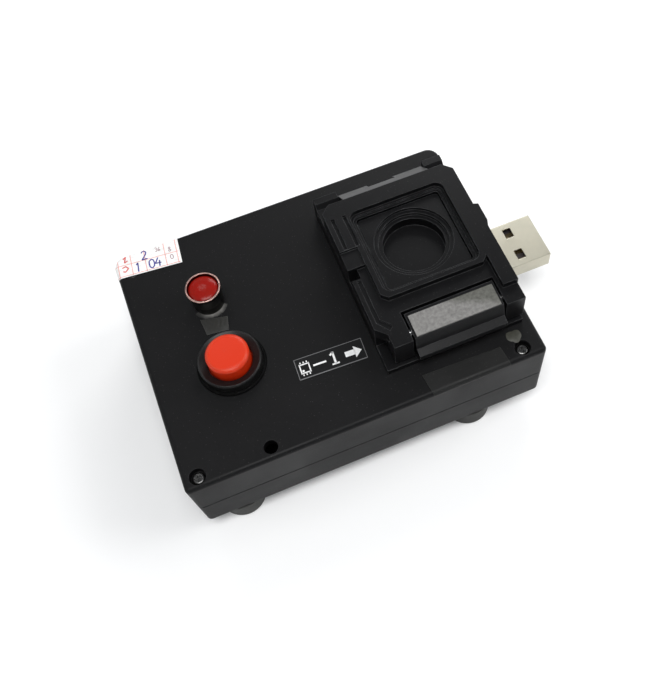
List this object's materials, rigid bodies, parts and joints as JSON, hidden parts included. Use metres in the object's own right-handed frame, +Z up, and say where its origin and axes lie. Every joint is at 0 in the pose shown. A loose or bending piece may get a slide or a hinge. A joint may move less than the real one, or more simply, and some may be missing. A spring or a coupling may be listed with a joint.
{
  "type": "spring-probe chip reader fixture",
  "caption": "Black bench box that reads a ball grid memory chip through a clamshell spring-probe socket, with a lamp, a push button and a USB-A plug.",
  "frame": {"origin": "middle of the whole length, plug included, and of the box's width, on the plane that the rubber feet stand on", "axes": "+X along the box towards the USB plug, +Y from the latch side to the hinge side, +Z up"},
  "size_m": [0.0944, 0.0604, 0.0357],
  "materials": {
    "case_plastic": "fine-grained",
    "socket_plastic": "satin",
    "nest_plastic": "machined",
    "foot_rubber": "matt",
    "screw_steel": "dull",
    "zinc_steel": "zinc plated",
    "spring_steel": "drawn",
    "pin_steel": "ground",
    "plug_steel": "tinned",
    "bright_metal": "polished",
    "worn_aluminium": "worn",
    "contact_gold": "gold plated",
    "lamp_red": "clear red",
    "button_red": "satin",
    "black_gloss": "moulded",
    "chip_black": "moulded",
    "tongue_plastic": "moulded",
    "board_green": "solder mask",
    "ceramic_tan": "fired"
  },
  "bodies": {
    "box": {"enclosure_base": "case_plastic", "enclosure_cover": "case_plastic", "cover_screws": "screw_steel", "rubber_feet": "foot_rubber", "lamp_bezel": "bright_metal", "lamp_lens": "lamp_red", "lamp_washer": "zinc_steel", "lamp_nut": "zinc_steel", "button_skirt": "black_gloss", "button_bezel": "black_gloss", "button_nut": "black_gloss", "button_switch_base": "chip_black", "button_terminals": "contact_gold", "button_spring": "spring_steel", "main_board": "board_green", "controller_chip": "chip_black", "board_passives": "ceramic_tan", "usb_plug_shell": "plug_steel", "usb_plug_tongue": "tongue_plastic", "usb_contacts": "contact_gold", "socket_base": "socket_plastic", "socket_screws": "screw_steel", "nest_springs": "spring_steel", "nest_screws": "screw_steel", "probe_retainer": "nest_plastic", "probe_barrels": "contact_gold", "hinge_pin": "pin_steel", "hinge_spring": "spring_steel"},
    "lid": {"socket_lid": "socket_plastic", "latch_pin": "pin_steel", "latch_spring": "spring_steel", "guide_screws": "screw_steel", "pressure_springs": "spring_steel"},
    "latch_lever": {"latch": "socket_plastic", "latch_plate": "worn_aluminium"},
    "pressure": {"pressure_block": "socket_plastic"},
    "button": {"button_cap": "button_red"},
    "nest": {"nest_frame": "nest_plastic", "guide_plate": "nest_plastic"},
    "probes": {"probe_plungers": "contact_gold"}
  },
  "joints": [
    {"name": "lid_hinge", "type": "hinge", "parent": "box", "child": "lid", "pos_m": [0.0156, 0.0194, 0.0291], "axis": [-1, 0, 0], "range_deg": [0, 100]},
    {"name": "latch_press", "type": "hinge", "parent": "lid", "child": "latch_lever", "pos_m": [0.0156, -0.0182, 0.0321], "axis": [-1, 0, 0], "range_deg": [0, 20], "stiffness_Nm_per_rad": 0.05, "deforming": ["latch_spring"]},
    {"name": "pressure_float", "type": "slide", "parent": "lid", "child": "pressure", "axis": [0, 0, 1], "range_m": [0, 0.0005], "stiffness_N_per_m": 400, "springref_m": -0.001, "deforming": ["pressure_springs"]},
    {"name": "button_press", "type": "slide", "parent": "box", "child": "button", "axis": [0, 0, -1], "range_m": [0, 0.002], "stiffness_N_per_m": 400, "springref_m": -0.002, "deforming": ["button_spring"]},
    {"name": "nest_float", "type": "slide", "parent": "box", "child": "nest", "axis": [0, 0, -1], "range_m": [0, 0.0004], "stiffness_N_per_m": 400, "springref_m": -0.001, "deforming": ["nest_springs"]},
    {"name": "probe_press", "type": "slide", "parent": "box", "child": "probes", "axis": [0, 0, -1], "range_m": [0, 0.0003], "stiffness_N_per_m": 400, "springref_m": -0.0005}
  ]
}
